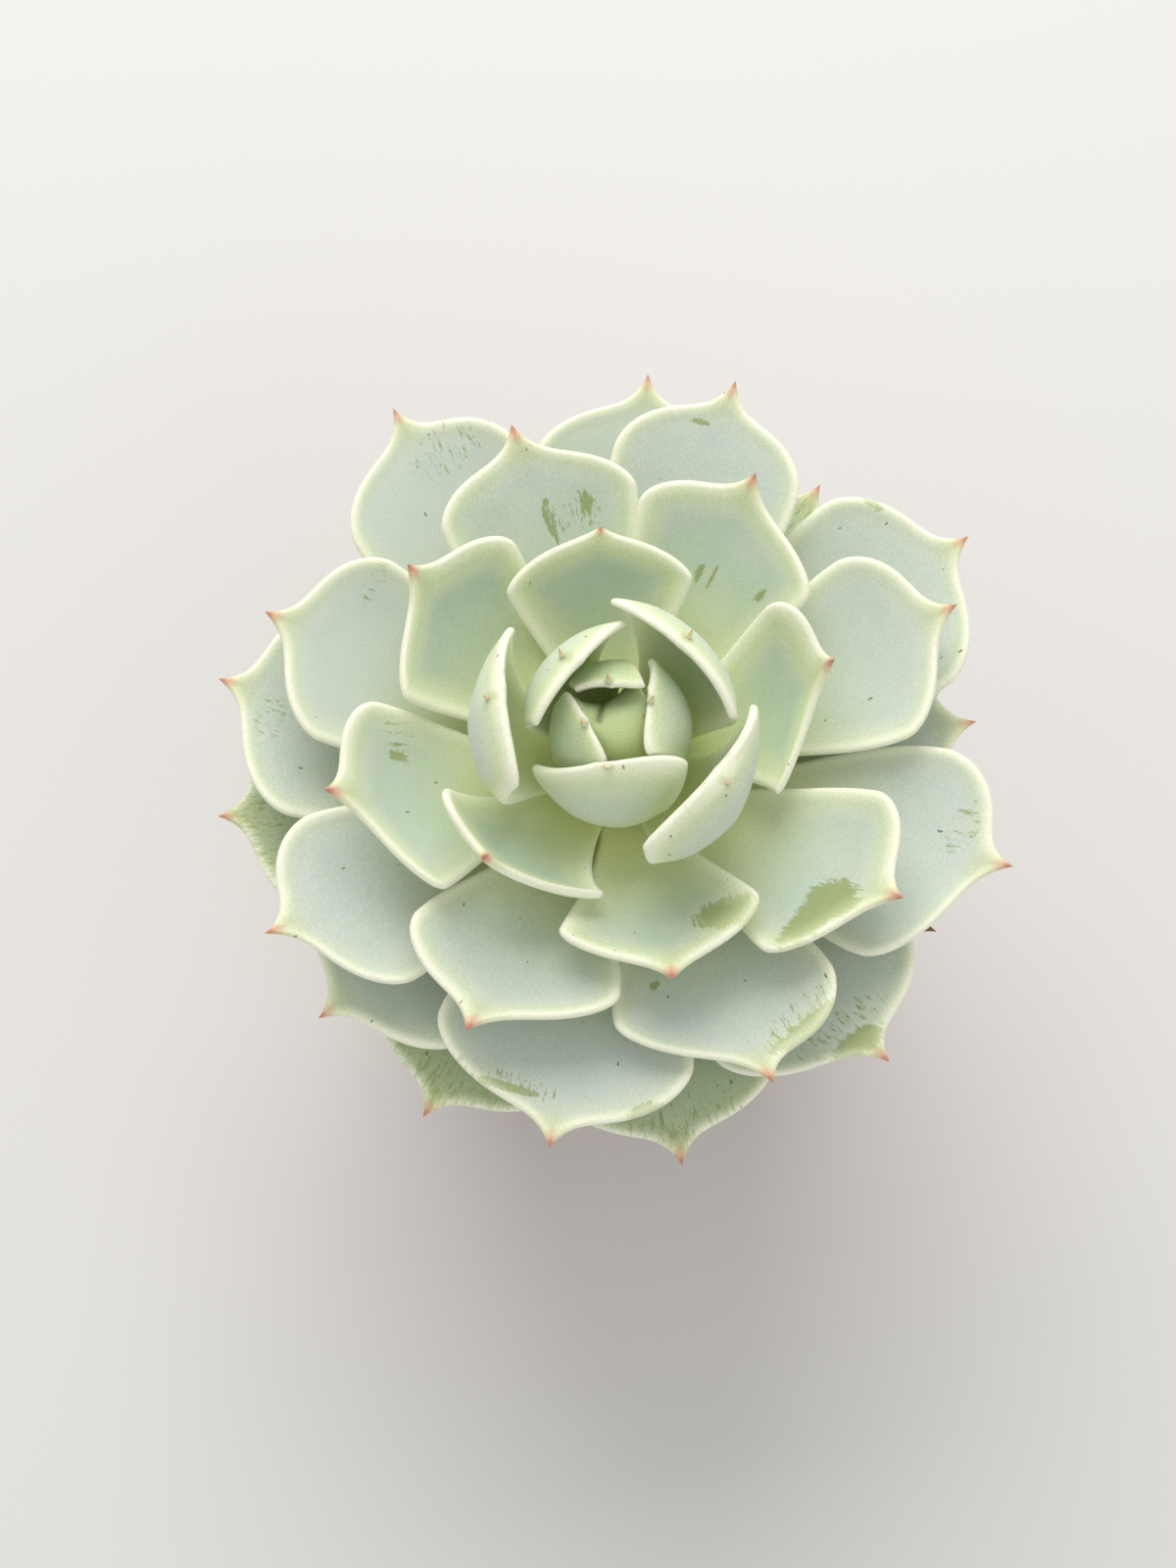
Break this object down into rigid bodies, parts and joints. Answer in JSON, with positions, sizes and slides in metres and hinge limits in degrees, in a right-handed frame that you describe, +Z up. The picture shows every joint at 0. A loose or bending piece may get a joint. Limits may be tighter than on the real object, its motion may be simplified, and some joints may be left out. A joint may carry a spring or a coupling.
{
  "type": "potted echeveria succulent",
  "caption": "Compact rosette of thick powdery blue-green leaves with cream rims and pink-brown spines, growing in a plain clay pot.",
  "frame": {"origin": "centre of the bounding box at the pot's foot, on the standing surface", "axes": "+Z up, the pot's axis; the camera of the picture looks along +Y and down, with +X to its right"},
  "size_m": [0.1196, 0.1236, 0.1235],
  "materials": {
    "young_leaf": "fleshy green bud leaf with a light powdery bloom and a soft cream rim",
    "leaf": "fleshy leaf with a matt blue-grey powdery bloom, rubbed off in places to olive green, with a cream rim",
    "old_leaf": "older fleshy leaf, its powdery bloom thin and scuffed to olive green",
    "stem": "short corky stem with leaf scars",
    "soil": "dark gritty potting mix of peat, bark and pumice",
    "clay": "matt unglazed clay"
  },
  "bodies": {
    "root": {"leaf_00": "young_leaf", "leaf_01": "young_leaf", "leaf_02": "young_leaf", "leaf_03": "young_leaf", "leaf_04": "young_leaf", "leaf_05": "young_leaf", "leaf_06": "young_leaf", "leaf_07": "young_leaf", "leaf_08": "young_leaf", "leaf_09": "leaf", "leaf_10": "leaf", "leaf_11": "leaf", "leaf_12": "leaf", "leaf_13": "leaf", "leaf_14": "leaf", "leaf_15": "leaf", "leaf_16": "leaf", "leaf_17": "leaf", "leaf_18": "leaf", "leaf_19": "leaf", "leaf_20": "leaf", "leaf_21": "leaf", "leaf_22": "leaf", "leaf_23": "leaf", "leaf_24": "leaf", "leaf_25": "leaf", "leaf_26": "leaf", "leaf_27": "leaf", "leaf_28": "leaf", "leaf_29": "leaf", "leaf_30": "leaf", "leaf_31": "old_leaf", "leaf_32": "old_leaf", "leaf_33": "old_leaf", "leaf_34": "old_leaf", "leaf_35": "old_leaf", "leaf_36": "old_leaf", "leaf_37": "old_leaf", "leaf_38": "old_leaf", "leaf_39": "old_leaf", "leaf_40": "old_leaf", "stem": "stem", "soil": "soil", "pot": "clay"}
  },
  "joints": []
}
